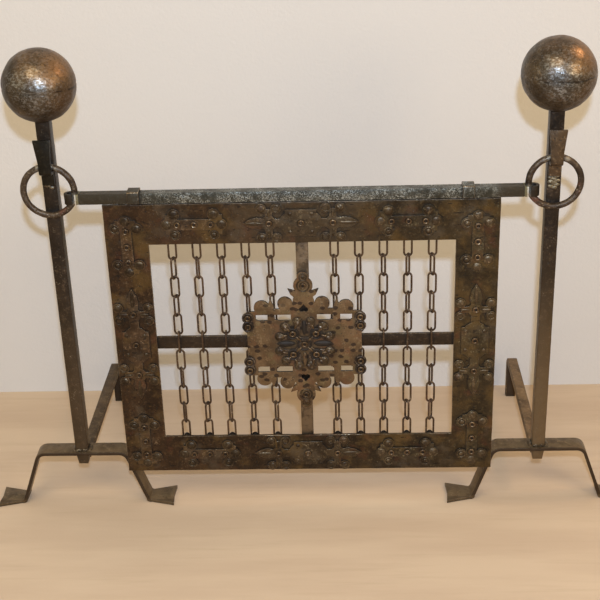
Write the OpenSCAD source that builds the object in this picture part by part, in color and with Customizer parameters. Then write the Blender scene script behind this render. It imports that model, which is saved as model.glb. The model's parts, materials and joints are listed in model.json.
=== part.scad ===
// Pair of wrought iron andirons with ball tops and a fire screen hung between them.
// Sizes in millimetres. X runs to the right, Y to the back, Z up; the floor is at z = 0.

/* [Andirons] */
// Distance between the two post axes
post_spacing = 706; // [600:2:800]
// Side of the square post bar
post_side = 20; // [16:1:26]
// Diameter of the ball
ball_d = 103; // [80:1:120]
// Height of the ball's centre above the floor
ball_z = 672; // [640:1:720]
// Diameter of the round tenon that holds the ball
ball_tenon_d = 12; // [8:1:14]

/* [Front legs] */
// Thickness of the flat bar of the legs
leg_t = 5; // [4:0.5:8]
// Width of the flat bar of the legs, front to back
leg_w = 30; // [24:1:40]
// Height of the underside of the level part
leg_z = 87; // [70:1:110]
// Half length of the level part, measured to the corner
leg_half_flat = 70; // [55:1:85]
// Half spread of the legs where they reach the floor
leg_half_foot = 101; // [90:1:120]
// Half spread over the ends of the feet
leg_half_end = 139; // [125:1:155]
// Width of the fishtail at the end of each foot
foot_end_w = 50; // [36:1:60]
// Inner radius of the upper bend
leg_bend_r = 12; // [8:1:20]

/* [Billet bars] */
// Width of the flat billet bar
billet_w = 17; // [14:1:24]
// Thickness of the billet bar
billet_t = 10; // [8:1:14]
// Height of the top face that carries the logs
billet_z = 78; // [70:1:90]
// Distance from the post axis to the rear face of the rear leg
billet_reach = 318; // [280:2:360]

/* [Rings and ring hooks] */
// Outer diameter of the ring
ring_d = 82; // [70:1:90]
// Diameter of the ring's wire
ring_wire = 10; // [8:0.5:12]
// Height of the ring's centre
ring_z = 524; // [500:1:540]
// Play of the wire in the hook, front and back
hook_play = 1.2; // [1.1:0.1:2]
// Thickness of the hook strap
hook_t = 4.5; // [3:0.5:6]
// Width of the hook strap
hook_w = 17.5; // [14:0.5:20]
// Width of the hook's fishtail top
hook_top_w = 24.5; // [20:0.5:30]
// Height of the tab above the seat
hook_rise = 48; // [40:1:56]
// Length of the flat part below the seat
hook_drop = 22; // [16:1:30]

/* [Hanging bar] */
// Side of the square hanging bar
bar_side = 15; // [12:0.5:18]
// Height of the bar's centre
bar_z = 513; // [505:1:518]
// Wall of the rolled eye
eye_wall = 4; // [3:0.5:5]
// Play between the eye and the ring's wire
eye_play = 0.4; // [0.3:0.1:1]

/* [Screen frame] */
// Room from a post's axis to the side of the screen
screen_room = 73; // [60:1:90]
// Height of the screen
screen_h = 441; // [400:1:480]
// Width of the rails and stiles
rail_w = 62; // [50:1:70]
// Thickness of the rails and stiles
rail_t = 5; // [3:0.5:6]
// Gap between the bar and the screen's top edge
screen_gap = 2; // [1:0.5:4]
// Distance from the side of the screen to the middle of its hook
screen_hook_in = 46; // [30:1:70]
// Width of the screen hook straps
screen_hook_w = 17; // [12:1:22]
// Thickness of the screen hook straps
screen_hook_t = 3; // [2:0.5:4]
// Height of the level mid bar
mid_h = 20; // [14:1:26]
// Width of the upright centre strip
strip_w = 18; // [14:1:24]
// Thickness of the mid bar and the centre strip
strip_t = 4; // [3:0.5:5]
// Length of the mid bar and the strip that lies behind the frame
strip_lap = 22; // [12:1:30]

/* [Chains] */
// Diameter of the link wire
link_wire = 3; // [2:0.25:4]
// Length of chain that lies behind each rail
chain_lap = 9; // [8:0.5:12]
// Outer width of a link
link_wid = 14; // [12:0.5:16]
// Play between two links
link_play = 0.1; // [0.05:0.05:0.3]
// Links in one chain, an odd number
link_count = 11; // [9:2:13]
// Distance from the middle to the first chain
chain_first = 46; // [40:1:60]
// Room from the outermost chain to the stile
chain_side = 32; // [24:1:40]
// Turn of every second link, away from edge on
link_turn = 25; // [0:5:25]
// Diameter of the chain pins
chain_pin_d = 5; // [4:0.5:6]

/* [Ornament] */
// Thickness of the cut ornaments
trim_t = 2.4; // [1.5:0.1:3]
// Width of the plaque's main plate
plaque_w = 168; // [140:2:180]
// Thickness of the plaque
plaque_t = 3; // [2:0.5:4]
// Diameter of the ring headed rivets
rivet_d = 11; // [8:0.5:13]
// Height of the rivet heads
rivet_h = 2.8; // [2:0.1:4]

/* [Hidden] */
$fn = 48;
sliver = 0.5;
wide = 400;
post_x = post_spacing / 2;
ring_r = (ring_d - ring_wire) / 2;
post_front = -post_side / 2;
ring_y = post_front - hook_play - ring_wire / 2;
hook_back = ring_y - ring_wire / 2 - hook_play;
hook_front = hook_back - hook_t;
ring_in_r = ring_r - ring_wire / 2;
seat_z = ring_z + sqrt(pow(ring_in_r, 2) - pow(hook_w / 2, 2)) - 0.3;
ball_flat_z = ball_z - sqrt(pow(ball_d / 2, 2) - pow(post_side * 0.71, 2));
stub_z = billet_z - billet_t;
leg_slope = atan2(leg_z, leg_half_foot - leg_half_flat);
bend_out = leg_bend_r + leg_t;
// Height of the wire inside the eye, from its lowest to its highest place
wire_low = ring_z - bar_z + bar_side / 2;
wire_high = ring_z - bar_z - bar_side / 2;
wire_out = post_x - sqrt(pow(ring_r, 2) - pow(wire_low, 2));
wire_in = post_x - sqrt(pow(ring_r, 2) - pow(wire_high, 2));
wire_low_r = ring_wire / 2 * ring_r / sqrt(pow(ring_r, 2) - pow(wire_low, 2));
wire_high_r = ring_wire / 2 * ring_r / sqrt(pow(ring_r, 2) - pow(wire_high, 2));
eye_x = (wire_out + wire_low_r + wire_in - wire_high_r) / 2;
eye_half = (wire_out + wire_low_r - wire_in + wire_high_r) / 2 + eye_play;
eye_in_r = ring_wire / 2 + eye_play;
eye_shift = eye_half - eye_in_r;
eye_out_r = eye_in_r + eye_wall;
bar_front = ring_y - eye_out_r + 1.4;
bar_back = bar_front + bar_side;
bar_top = bar_z + bar_side / 2;
bar_low = bar_z - bar_side / 2;
screen_top = bar_low - screen_gap;
screen_low = screen_top - screen_h;
screen_mid = screen_top - screen_h / 2;
screen_w = post_spacing - 2 * screen_room;
screen_hook_x = screen_w / 2 - screen_hook_in;
rail_back = -leg_w / 2 - 2;
rail_front = rail_back - rail_t;
open_w = screen_w - 2 * rail_w;
open_h = screen_h - 2 * rail_w;
chain_y = rail_back + strip_t / 2;
chain_half = open_h / 2 + chain_lap;
link_grip = 2 * link_wire + link_play;
link_len = (2 * chain_half + link_grip * (link_count - 1)) / link_count;
link_pitch = link_len - link_grip;
chain_pitch = (open_w / 2 - chain_side - chain_first) / 4;
link_arc = (link_wid - link_wire) / 2;
link_straight = link_len - link_wid;
chain_pin_z = chain_half - link_wire - chain_pin_d / 2 - 0.15;
plaque_back = chain_y - link_wid / 2 - 0.4;
plaque_front = plaque_back - plaque_t;
// Moves everything so that the whole is centred front to back; the balls reach furthest forward
y_shift = (ball_d / 2 - billet_reach) / 2;
stile_x = screen_w / 2 - rail_w / 2;
// Ornaments: their places and lengths follow the screen, and their drawings are made for a rail 62 wide
trim_scale = rail_w / 62;
side_x = 0.27 * screen_w;
side_long = 0.168 * screen_w;
side_rivet = 0.255 * side_long;
centre_long = 0.293 * screen_w;
centre_rivet = 0.275 * centre_long;
upright_long = 0.413 * screen_h;
upright_rivet = 0.275 * upright_long;
upper_down = 0.145 * screen_h;
middle_down = 0.5 * screen_h;
lower_down = 0.875 * screen_h;
// Plaque: drawn for a main plate 168 wide
plaque_scale = plaque_w / 168;
crest_rise = 93 * plaque_scale;
crest_fall = 86 * plaque_scale;

// Places a part of one andiron; side is -1 for the left one and 1 for the right one.
module at_post(side) {
  translate([side * post_x, y_shift, 0])
    children();
}

// Turns a drawing in X and Y so that it stands up in X and Z, thick from y0 towards the back.
module standing(y0, thick) {
  translate([0, y0 + thick, 0])
    rotate([90, 0, 0])
      linear_extrude(height = thick)
        children();
}

// Turns a drawing whose X is depth and whose Y is height into a strap of the given width.
module strap(width) {
  translate([-width / 2, 0, 0])
    rotate([90, 0, 90])
      linear_extrude(height = width)
        children();
}

// Post: square bar with a round tenon for the ball and a tapered end below the legs.
module post(side) {
  color([0.17, 0.14, 0.12])
    at_post(side)
      union() {
        translate([-post_side / 2, -post_side / 2, leg_z])
          cube([post_side, post_side, ball_flat_z - leg_z]);
        translate([0, 0, ball_flat_z - sliver])
          cylinder(d = ball_tenon_d, h = sliver + ball_d * 0.45);
        intersection() {
          strap(post_side)
            polygon([[post_front + 2.5, stub_z], [post_side / 2, stub_z],
              [post_side / 2, leg_z], [post_front, leg_z]]);
          standing(post_front, post_side)
            polygon([[-post_side / 2 + 2.5, stub_z], [post_side / 2 - 2.5, stub_z],
              [post_side / 2, leg_z], [-post_side / 2, leg_z]]);
        }
      }
}

// Ball: seated on the post's shoulder, bored for the tenon.
module ball(side) {
  color([0.27, 0.22, 0.17])
    at_post(side)
      difference() {
        translate([0, 0, ball_z])
          sphere(d = ball_d, $fn = 96);
        translate([-ball_d / 2, -ball_d / 2, ball_z - ball_d])
          cube([ball_d, ball_d, ball_flat_z - ball_z + ball_d]);
        translate([0, 0, ball_flat_z - 1])
          cylinder(d = ball_tenon_d, h = 1 + ball_d * 0.45);
      }
}

// One half of the leg's bent outline, in X and Z.
module leg_outline() {
  drop = bend_out * tan(leg_slope / 2);
  corner_x = leg_half_flat;
  run_x = corner_x - drop;
  top = leg_z + leg_t;
  // level part up to the start of the bend
  translate([0, leg_z])
    square([run_x, leg_t]);
  // upper bend
  intersection() {
    translate([run_x, top - bend_out])
      difference() {
        circle(r = bend_out);
        circle(r = leg_bend_r);
      }
    translate([run_x, top - bend_out])
      polygon([[0, 0], [0, 3 * bend_out], [3 * bend_out * sin(leg_slope), 3 * bend_out * cos(leg_slope)]]);
  }
  // sloping part, from the bend down to the floor
  start_x = run_x + bend_out * sin(leg_slope);
  start_z = top - bend_out + bend_out * cos(leg_slope);
  fall = start_z / sin(leg_slope);
  intersection() {
    translate([start_x, start_z])
      rotate(-leg_slope)
        translate([0, -leg_t])
          square([fall + 20, leg_t]);
    translate([0, 0])
      square([wide, wide]);
  }
  // flat foot
  translate([leg_half_foot - 6, 0])
    square([leg_half_end - leg_half_foot + 6, leg_t]);
}

// Front legs: level bar pierced for the post, both legs and their fishtail feet.
module front_legs(side) {
  color([0.24, 0.20, 0.16])
    at_post(side)
      difference() {
        union() {
          intersection() {
            standing(-foot_end_w / 2, foot_end_w)
              union() {
                leg_outline();
                mirror([1, 0])
                  leg_outline();
              }
            leg_plan();
          }
          // weld beads on both sides of the post
          translate([-post_side / 2 - 1.5, -post_side / 2 - 1, leg_z + leg_t])
            rotate([-90, 0, 0])
              cylinder(r = 3, h = post_side);
          translate([post_side / 2 + 1.5, -post_side / 2 - 1, leg_z + leg_t])
            rotate([-90, 0, 0])
              cylinder(r = 3, h = post_side);
        }
        translate([-post_side / 2, -post_side / 2, leg_z - 10])
          cube([post_side, post_side, 40]);
      }
}

// Plan of the legs: plain flat bar that spreads to a fishtail at both feet.
module leg_plan() {
  half = leg_w / 2;
  end = foot_end_w / 2;
  start = leg_half_foot + 3;
  linear_extrude(height = leg_z + leg_t + 1)
    polygon([[-start, -half], [start, -half], [leg_half_end, -end],
      [leg_half_end - 2, 0], [leg_half_end, end], [start, half],
      [-start, half], [-leg_half_end, end], [-leg_half_end + 2, 0], [-leg_half_end, -end]]);
}

// Billet bar: runs back from the post's lower end and bends down as the rear leg.
module billet_bar(side) {
  outer_r = 14;
  color([0.33, 0.26, 0.19])
    at_post(side)
      strap(billet_w)
        union() {
          translate([post_side / 2, billet_z - billet_t])
            square([billet_reach - outer_r - post_side / 2, billet_t]);
          intersection() {
            translate([billet_reach - outer_r, billet_z - outer_r])
              difference() {
                circle(r = outer_r);
                circle(r = outer_r - billet_t);
              }
            translate([billet_reach - outer_r, billet_z - outer_r])
              square([outer_r, outer_r]);
          }
          translate([billet_reach - billet_t, 0])
            square([billet_t, billet_z - outer_r]);
        }
}

// Ring hook: strap on the post's front, joggled forward, with a fishtail tab.
module ring_hook(side) {
  low = seat_z - hook_drop;
  top = seat_z + hook_rise;
  lean = 2;
  outer_r = 6;
  color([0.18, 0.17, 0.14])
    at_post(side)
      intersection() {
        strap(hook_top_w + 2)
          union() {
            translate([post_front - hook_t, low])
              square([hook_t, seat_z - low]);
            translate([hook_front + outer_r, seat_z - hook_t])
              square([post_front - hook_front - outer_r, hook_t]);
            intersection() {
              translate([hook_front + outer_r, seat_z - hook_t + outer_r])
                difference() {
                  circle(r = outer_r);
                  circle(r = outer_r - hook_t);
                }
              translate([hook_front, seat_z - hook_t])
                square([outer_r, outer_r]);
            }
            polygon([[hook_front, seat_z - hook_t + outer_r], [hook_back, seat_z - hook_t + outer_r],
              [hook_back, seat_z + 12], [hook_back - lean, top], [hook_front - lean, top],
              [hook_front, seat_z + 12]]);
          }
        standing(hook_front - 5, 25)
          polygon([[-hook_w / 2, low - 1], [hook_w / 2, low - 1], [hook_w / 2, seat_z + 14],
            [hook_top_w / 2, top + 0.5], [-hook_top_w / 2, top + 0.5], [-hook_w / 2, seat_z + 14]]);
      }
}

// Ring: round wire, upright in front of the post.
module ring(side) {
  color([0.26, 0.20, 0.16])
    at_post(side)
      translate([0, ring_y, ring_z])
        rotate([90, 0, 0])
          rotate_extrude($fn = 72)
            translate([ring_r, 0])
              circle(d = ring_wire, $fn = 32);
}

// Plan of a long round ended hole or plate, centred, with ends of radius r.
module stadium(r, shift) {
  union() {
    translate([-shift, 0])
      circle(r = r);
    translate([shift, 0])
      circle(r = r);
    translate([-shift, -r])
      square([2 * shift, 2 * r]);
  }
}

// Hanging bar: square bar with a rolled eye at each end, seen in plan and drawn out upwards.
module hanging_bar() {
  color([0.27, 0.27, 0.24])
    translate([0, y_shift, bar_low])
      linear_extrude(height = bar_side)
        difference() {
          union() {
            translate([-eye_x + eye_half + 1, bar_front])
              square([2 * (eye_x - eye_half - 1), bar_side]);
            for (side = [-1, 1])
              translate([side * eye_x, ring_y])
                stadium(eye_out_r, eye_shift);
          }
          for (side = [-1, 1])
            translate([side * eye_x, ring_y])
              union() {
                stadium(eye_in_r, eye_shift);
                translate([side < 0 ? 0.2 : -3.8, -eye_out_r - 1])
                  square([3.6, eye_out_r]);
              }
        }
}

// Screen hook: strap from the rail's back, joggled back, up and over the bar.
module screen_hook(side) {
  t = screen_hook_t;
  gap = 0.3;
  y_in = bar_back + gap;
  z_in = bar_top + gap;
  foot_z = screen_top - 34;
  bend_z = screen_top - 14;
  color([0.22, 0.21, 0.18])
    translate([side * screen_hook_x, y_shift, 0])
      strap(screen_hook_w)
        polygon([[rail_back, foot_z], [rail_back + t, foot_z], [rail_back + t, bend_z - 1],
          [y_in + t, bend_z + 9], [y_in + t, z_in + t - 1.2], [y_in + t - 1.2, z_in + t],
          [bar_front - gap - t + 1.2, z_in + t], [bar_front - gap - t, z_in + t - 1.2],
          [bar_front - gap - t, bar_low + 0.5], [bar_front - gap, bar_low + 0.5],
          [bar_front - gap, z_in], [y_in, z_in], [y_in, bend_z + 10.5], [rail_back, bend_z + 0.5]]);
}

// Rail: level flat iron across the whole width of the screen.
module rail(z0) {
  color([0.25, 0.19, 0.13])
    translate([-screen_w / 2, y_shift + rail_front, z0])
      cube([screen_w, rail_t, rail_w]);
}

// Stile: upright flat iron between the rails.
module stile(side) {
  color([0.25, 0.19, 0.13])
    translate([side * stile_x - rail_w / 2, y_shift + rail_front, screen_low + rail_w])
      cube([rail_w, rail_t, open_h]);
}

// Mid bar: level flat bar behind the stiles, halved at the middle, with a fixed play there.
module mid_bar() {
  long = open_w + 2 * strip_lap;
  color([0.15, 0.11, 0.10])
    translate([0, y_shift, screen_mid])
      difference() {
        translate([-long / 2, rail_back, -mid_h / 2])
          cube([long, strip_t, mid_h]);
        translate([-strip_w / 2, rail_back - 1, -mid_h])
          cube([strip_w, strip_t / 2 + 1, 2 * mid_h]);
      }
}

// Centre strip: upright flat bar behind the rails, halved at the back for the mid bar.
module centre_strip() {
  long = open_h + 2 * strip_lap;
  color([0.20, 0.16, 0.13])
    translate([0, y_shift, screen_mid])
      difference() {
        translate([-strip_w / 2, rail_back, -long / 2])
          cube([strip_w, strip_t, long]);
        translate([-strip_w, rail_back + strip_t / 2, -mid_h / 2])
          cube([2 * strip_w, strip_t, mid_h]);
      }
}

// Chain link: two half rings joined by two straight lengths of wire, long way up.
module link() {
  half = link_straight / 2;
  for (turn = [0, 180])
    rotate([0, turn, 0])
      translate([0, 0, half])
        rotate([90, 0, 0])
          rotate_extrude(angle = 180, $fn = 40)
            translate([link_arc, 0])
              circle(d = link_wire, $fn = 16);
  for (s = [-1, 1])
    translate([s * link_arc, 0, -half])
      cylinder(d = link_wire, h = link_straight, $fn = 16);
}

// Chain: the middle link stands edge on, and every second link from it hangs turned a little.
module chain(number) {
  place = number < 6 ? number - 6 : number - 5;
  x = sign(place) * (chain_first + (abs(place) - 1) * chain_pitch);
  middle = (link_count - 1) / 2;
  lean = number % 2 == 0 ? link_turn : -link_turn;
  color([0.24, 0.14, 0.09])
    translate([x, y_shift + chain_y, screen_mid])
      for (i = [0 : link_count - 1])
        translate([0, 0, (i - middle) * link_pitch])
          rotate([0, 0, abs(i - middle) % 2 == 0 ? 90 + sign(i - middle) * lean : 0])
            link();
}

// Chain pins: headed pins behind one rail, one through the end link of each chain.
module chain_pins(end) {
  color([0.20, 0.14, 0.11])
    for (s = [-1, 1])
      for (i = [0 : 4])
        translate([s * (chain_first + i * chain_pitch), y_shift + rail_back, screen_mid + end * chain_pin_z])
          rotate([-90, 0, 0])
            union() {
              cylinder(d = chain_pin_d, h = strip_t / 2 + link_wire / 2 + 1.6, $fn = 24);
              translate([0, 0, strip_t / 2 + link_wire / 2 + 0.3])
                cylinder(d = chain_pin_d + 3.5, h = 1.5, $fn = 24);
            }
}

// Ring headed rivet: turned head with a raised ring and a centre dome, top towards the front.
module ring_rivet() {
  r = rivet_d / 2;
  h = rivet_h;
  rotate([90, 0, 0])
    rotate_extrude($fn = 28)
      polygon([[0, 0], [r, 0], [r, h * 0.35], [r * 0.92, h * 0.75], [r * 0.78, h * 0.9],
        [r * 0.62, h * 0.7], [r * 0.55, h * 0.4], [r * 0.38, h * 0.4], [r * 0.36, h * 0.85],
        [r * 0.2, h], [0, h]]);
}

// Pointed leaf from the middle to x = reach.
module leaf(reach, half) {
  polygon([[0, -half * 0.6], [reach * 0.45, -half], [reach * 0.72, -half * 0.75], [reach, 0],
    [reach * 0.72, half * 0.75], [reach * 0.45, half], [0, half * 0.6]]);
}

// Side ornament, long way across: short bar with a three lobed end on each side.
module side_drawing() {
  end = side_long / 2 / trim_scale - 9;
  scale(trim_scale)
    union() {
      square([2 * end - 14, 16], center = true);
      for (s = [-1, 1]) {
        translate([s * end, 0])
          circle(r = 9);
        translate([s * (end - 10), 15.5])
          circle(r = 8.5);
        translate([s * (end - 10), -15.5])
          circle(r = 8.5);
        translate([s * (end - 5), 8])
          square([15, 14], center = true);
        translate([s * (end - 5), -8])
          square([15, 14], center = true);
      }
    }
}

// Centre ornament, long way across: square plate, a forked cross piece and a leaf to each side.
module centre_drawing(long) {
  half = long / 2 / trim_scale;
  arm = 0.55 * half;
  scale(trim_scale)
    union() {
      square([44, 40], center = true);
      translate([12, 0])
        circle(r = 18);
      translate([-12, 0])
        circle(r = 18);
      square([2 * arm, 13], center = true);
      for (s = [-1, 1]) {
        translate([s * arm, 0])
          square([10, 42], center = true);
        translate([s * arm, 0])
          circle(r = 11);
        for (v = [-1, 1])
          for (u = [-1, 1])
            translate([s * arm + u * 10.5, v * 22])
              circle(r = 7.6);
        rotate(s < 0 ? 180 : 0)
          translate([arm, 0])
            leaf(half - arm, 9);
      }
    }
}

// Ornament on a rail, centred at x and z.
module rail_ornament(x, z) {
  color([0.29, 0.23, 0.17])
    translate([x, y_shift, z])
      standing(rail_front - trim_t, trim_t)
        children();
}

// Ornament on a stile: the same drawing, turned upright.
module stile_ornament(side, down) {
  color([0.29, 0.23, 0.17])
    translate([side * stile_x, y_shift, screen_top - down])
      rotate([0, 90, 0])
        standing(rail_front - trim_t, trim_t)
          children();
}

// Rivets of one rail: three on each of its ornaments.
module rail_rivets(z) {
  color([0.31, 0.26, 0.21])
    for (s = [-1, 0, 1])
      for (k = [-1, 0, 1])
        translate([s * side_x + k * (s == 0 ? centre_rivet : side_rivet), y_shift + rail_front - trim_t, z])
          ring_rivet();
}

// Rivets of one stile: three on each of its ornaments.
module stile_rivets(side) {
  color([0.31, 0.26, 0.21])
    for (down = [upper_down, middle_down, lower_down])
      for (k = [-1, 0, 1])
        translate([side * stile_x, y_shift + rail_front - trim_t,
          screen_top - down + k * (down == middle_down ? upright_rivet : side_rivet)])
          ring_rivet();
}

// Crest of the plaque, drawn upwards from the main plate; its rivet sits at the height given.
module crest(rise) {
  difference() {
    union() {
      translate([0, rise])
        circle(r = 14);
      translate([0, rise + 13.5])
        circle(r = 8.5);
      polygon([[-12, rise - 8], [-22.5, rise - 4.5], [-18.5, rise - 14], [-14, rise - 18], [-17, rise - 31],
        [17, rise - 31], [14, rise - 18], [18.5, rise - 14], [22.5, rise - 4.5], [12, rise - 8]]);
      for (s = [-1, 1]) {
        translate([s * 27, 64.5])
          circle(r = 11);
        translate([s * 61, 58.5])
          circle(r = 11.5);
        translate([s * 48, 52])
          polygon([[-6, -16], [6, -16], [4.5, 9], [0, 21], [-4.5, 9]]);
        translate([s * 76, 45])
          square([12, 14], center = true);
      }
      translate([-78, 47])
        square([156, 5.5]);
      translate([-52, 47])
        square([104, 9.5]);
      translate([-28, 35])
        square([56, 30]);
    }
    // heart shaped piercing, its point away from the main plate
    union() {
      polygon([[-6.4, 55], [6.4, 55], [0, 64]]);
      translate([-3, 55.2])
        circle(r = 3.6);
      translate([3, 55.2])
        circle(r = 3.6);
    }
  }
}

// Plaque: pierced plate with a crest above and below.
module plaque() {
  color([0.42, 0.34, 0.25])
    translate([0, y_shift, screen_mid])
      standing(plaque_front, plaque_t)
        scale(plaque_scale)
          difference() {
            union() {
              square([168, 78], center = true);
              crest(crest_rise / plaque_scale);
              rotate(180)
                crest(crest_fall / plaque_scale);
            }
            for (v = [-1, 1])
              for (s = [-1, 1]) {
                translate([s * 28.5, v * 42.5])
                  square([19, 9], center = true);
                translate([s * 60.5, v * 42.5])
                  square([15, 9], center = true);
              }
          }
}

// Plaque spacers: four short collars between the crossed strips and the plaque.
module plaque_spacers() {
  color([0.20, 0.16, 0.13])
    for (place = [[0, 30], [0, -30], [34, 0], [-34, 0]])
      translate([plaque_scale * place[0], y_shift + rail_back, screen_mid + plaque_scale * place[1]])
        rotate([90, 0, 0])
          cylinder(d = 9, h = rail_back - plaque_back, $fn = 24);
}

// Rosette: a centre disc with four branches, each with a disc and three lobes.
module rosette() {
  color([0.35, 0.30, 0.30])
    translate([0, y_shift, screen_mid])
      standing(plaque_front - trim_t, trim_t)
        scale(plaque_scale)
          union() {
            circle(r = 12);
            for (turn = [0, 1])
              for (flip = [0, 1])
                mirror([turn, 0])
                  mirror([0, flip])
                    rosette_branch();
          }
}

// One branch of the rosette, towards the upper right.
module rosette_branch() {
  union() {
    translate([17, 17])
      circle(r = 9);
    rotate(45)
      translate([0, -4])
        square([36, 8]);
    translate([28, 28])
      circle(r = 7);
    translate([36.5, 12])
      circle(r = 7);
    translate([9.5, 36])
      circle(r = 7);
    translate([17, 9])
      square([19, 6.5]);
    translate([6, 17])
      square([7.5, 19]);
  }
}

// Corner florets: two small discs at each corner of the plaque.
module corner_florets() {
  color([0.30, 0.27, 0.22])
    for (s = [-1, 1])
      for (v = [-1, 1])
        translate([s * 82 * plaque_scale, y_shift, screen_mid + v * 36 * plaque_scale])
          standing(plaque_front - trim_t, trim_t)
            scale(plaque_scale)
              union() {
                translate([0, -7])
                  circle(r = 8.5);
                translate([0, 7])
                  circle(r = 8.5);
              }
}

// Ring headed rivets of the rosette, the crests and the corner florets.
module plaque_rivets() {
  color([0.36, 0.30, 0.25])
    union() {
      for (place = [[0, 0], [17, 17], [-17, 17], [17, -17], [-17, -17]])
        translate([plaque_scale * place[0], y_shift + plaque_front - trim_t, screen_mid + plaque_scale * place[1]])
          ring_rivet();
      for (place = [crest_rise, -crest_fall])
        translate([0, y_shift + plaque_front, screen_mid + place])
          ring_rivet();
      for (s = [-1, 1])
        for (z = [-43, -29, 29, 43])
          translate([s * 82 * plaque_scale, y_shift + plaque_front - trim_t, screen_mid + z * plaque_scale])
            ring_rivet();
    }
}

post(-1);  // left_post
post(1);  // right_post
ball(-1);  // left_ball
ball(1);  // right_ball
front_legs(-1);  // left_front_legs
front_legs(1);  // right_front_legs
billet_bar(-1);  // left_billet_bar
billet_bar(1);  // right_billet_bar
ring_hook(-1);  // left_ring_hook
ring_hook(1);  // right_ring_hook
ring(-1);  // left_ring
ring(1);  // right_ring
hanging_bar();
screen_hook(-1);  // left_screen_hook
screen_hook(1);  // right_screen_hook
rail(screen_top - rail_w);  // top_rail
rail(screen_low);  // bottom_rail
stile(-1);  // left_stile
stile(1);  // right_stile
mid_bar();
centre_strip();
chain(1);  // chain_1
chain(2);  // chain_2
chain(3);  // chain_3
chain(4);  // chain_4
chain(5);  // chain_5
chain(6);  // chain_6
chain(7);  // chain_7
chain(8);  // chain_8
chain(9);  // chain_9
chain(10);  // chain_10
chain_pins(1);  // upper_chain_pins
chain_pins(-1);  // lower_chain_pins
plaque();
plaque_spacers();
rosette();
corner_florets();
plaque_rivets();
rail_ornament(-side_x, screen_top - rail_w / 2) side_drawing();  // top_left_ornament
rail_ornament(0, screen_top - rail_w / 2) centre_drawing(centre_long);  // top_centre_ornament
rail_ornament(side_x, screen_top - rail_w / 2) side_drawing();  // top_right_ornament
rail_ornament(-side_x, screen_low + rail_w / 2) side_drawing();  // bottom_left_ornament
rail_ornament(0, screen_low + rail_w / 2) centre_drawing(centre_long);  // bottom_centre_ornament
rail_ornament(side_x, screen_low + rail_w / 2) side_drawing();  // bottom_right_ornament
stile_ornament(-1, upper_down) side_drawing();  // left_upper_ornament
stile_ornament(-1, middle_down) centre_drawing(upright_long);  // left_middle_ornament
stile_ornament(-1, lower_down) side_drawing();  // left_lower_ornament
stile_ornament(1, upper_down) side_drawing();  // right_upper_ornament
stile_ornament(1, middle_down) centre_drawing(upright_long);  // right_middle_ornament
stile_ornament(1, lower_down) side_drawing();  // right_lower_ornament
rail_rivets(screen_top - rail_w / 2);  // top_rail_rivets
rail_rivets(screen_low + rail_w / 2);  // bottom_rail_rivets
stile_rivets(-1);  // left_stile_rivets
stile_rivets(1);  // right_stile_rivets
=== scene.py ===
import json
import math
import random

import bpy
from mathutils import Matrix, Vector


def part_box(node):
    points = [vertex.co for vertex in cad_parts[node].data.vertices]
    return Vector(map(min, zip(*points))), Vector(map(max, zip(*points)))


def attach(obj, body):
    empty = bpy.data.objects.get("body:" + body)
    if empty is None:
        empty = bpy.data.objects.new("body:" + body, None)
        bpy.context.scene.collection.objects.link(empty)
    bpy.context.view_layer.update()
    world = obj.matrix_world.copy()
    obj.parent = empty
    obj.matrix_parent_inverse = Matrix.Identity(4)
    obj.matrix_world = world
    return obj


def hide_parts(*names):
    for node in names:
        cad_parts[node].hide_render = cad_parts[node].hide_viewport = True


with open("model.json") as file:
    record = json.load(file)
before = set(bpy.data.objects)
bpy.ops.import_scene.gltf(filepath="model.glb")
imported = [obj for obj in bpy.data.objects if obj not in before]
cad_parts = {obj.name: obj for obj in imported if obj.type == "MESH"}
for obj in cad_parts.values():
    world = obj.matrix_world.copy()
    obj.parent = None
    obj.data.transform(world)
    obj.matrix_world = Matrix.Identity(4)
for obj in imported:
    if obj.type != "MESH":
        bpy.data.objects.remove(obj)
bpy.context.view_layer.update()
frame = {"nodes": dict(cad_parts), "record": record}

dice = random.Random(7)

ANDIRONS = "andirons"
SCREEN = "screen"

# Turns a plane, disc or ring that lies flat until its top looks to the front.
FACING_FRONT = (math.pi / 2, 0, 0)

# Camera, at the height and angle of the photograph.
CAMERA_PLACE = (0.0661, -1.7887, 1.1156)
CAMERA_TURN_DEGREES = (64.95, 1.75, 1.67)
CAMERA_LENS = 74.73
CAMERA_SENSOR = 36

bpy.ops.object.camera_add(location=CAMERA_PLACE, rotation=[math.radians(v) for v in CAMERA_TURN_DEGREES])
camera = bpy.context.object
camera.data.lens = CAMERA_LENS
camera.data.sensor_width = CAMERA_SENSOR
bpy.context.scene.camera = camera
bpy.context.scene.view_settings.view_transform = "Standard"


# Shader maths and finishes.
class Wire:
    """One output of a finish. Sums, differences and products of wires add Math nodes."""

    def __init__(self, finish, socket):
        self.finish = finish
        self.socket = socket

    def maths(self, operation, first, second):
        return self.finish.node("ShaderNodeMath", {"operation": operation}, {0: first, 1: second})

    def __add__(self, other):
        return self.maths("ADD", self, other)

    def __radd__(self, other):
        return self.maths("ADD", other, self)

    def __sub__(self, other):
        return self.maths("SUBTRACT", self, other)

    def __rsub__(self, other):
        return self.maths("SUBTRACT", other, self)

    def __mul__(self, other):
        return self.maths("MULTIPLY", self, other)

    def __rmul__(self, other):
        return self.maths("MULTIPLY", other, self)

    def __abs__(self):
        return self.finish.node("ShaderNodeMath", {"operation": "ABSOLUTE"}, {0: self})


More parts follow.
